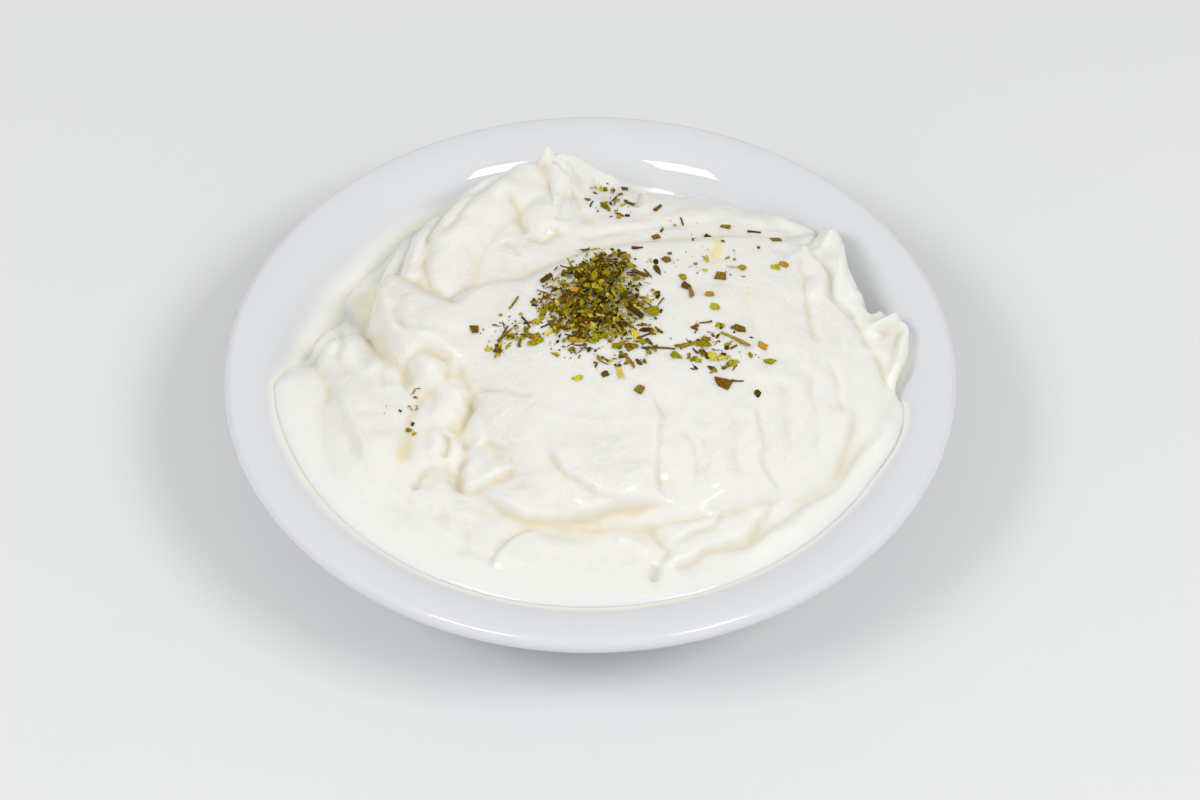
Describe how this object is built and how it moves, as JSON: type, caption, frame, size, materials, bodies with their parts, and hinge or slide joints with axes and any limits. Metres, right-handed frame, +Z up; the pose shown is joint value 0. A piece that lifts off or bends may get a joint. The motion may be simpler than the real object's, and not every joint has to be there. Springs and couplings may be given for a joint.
{
  "type": "bowl of garlic yogurt",
  "caption": "Small round glazed dish heaped with thick spooned garlic yogurt, with dried green herbs sprinkled on top.",
  "frame": {"origin": "centre of the dish on the surface it stands on", "axes": "+Z up along the dish's axis; the yogurt's pointed peak is at the back, towards +Y"},
  "size_m": [0.15, 0.15, 0.0391],
  "materials": {
    "glaze": "glossy white glaze",
    "yogurt": "moist, creamy white"
  },
  "bodies": {
    "root": {"bowl": "glaze", "yogurt": "yogurt"}
  },
  "joints": []
}
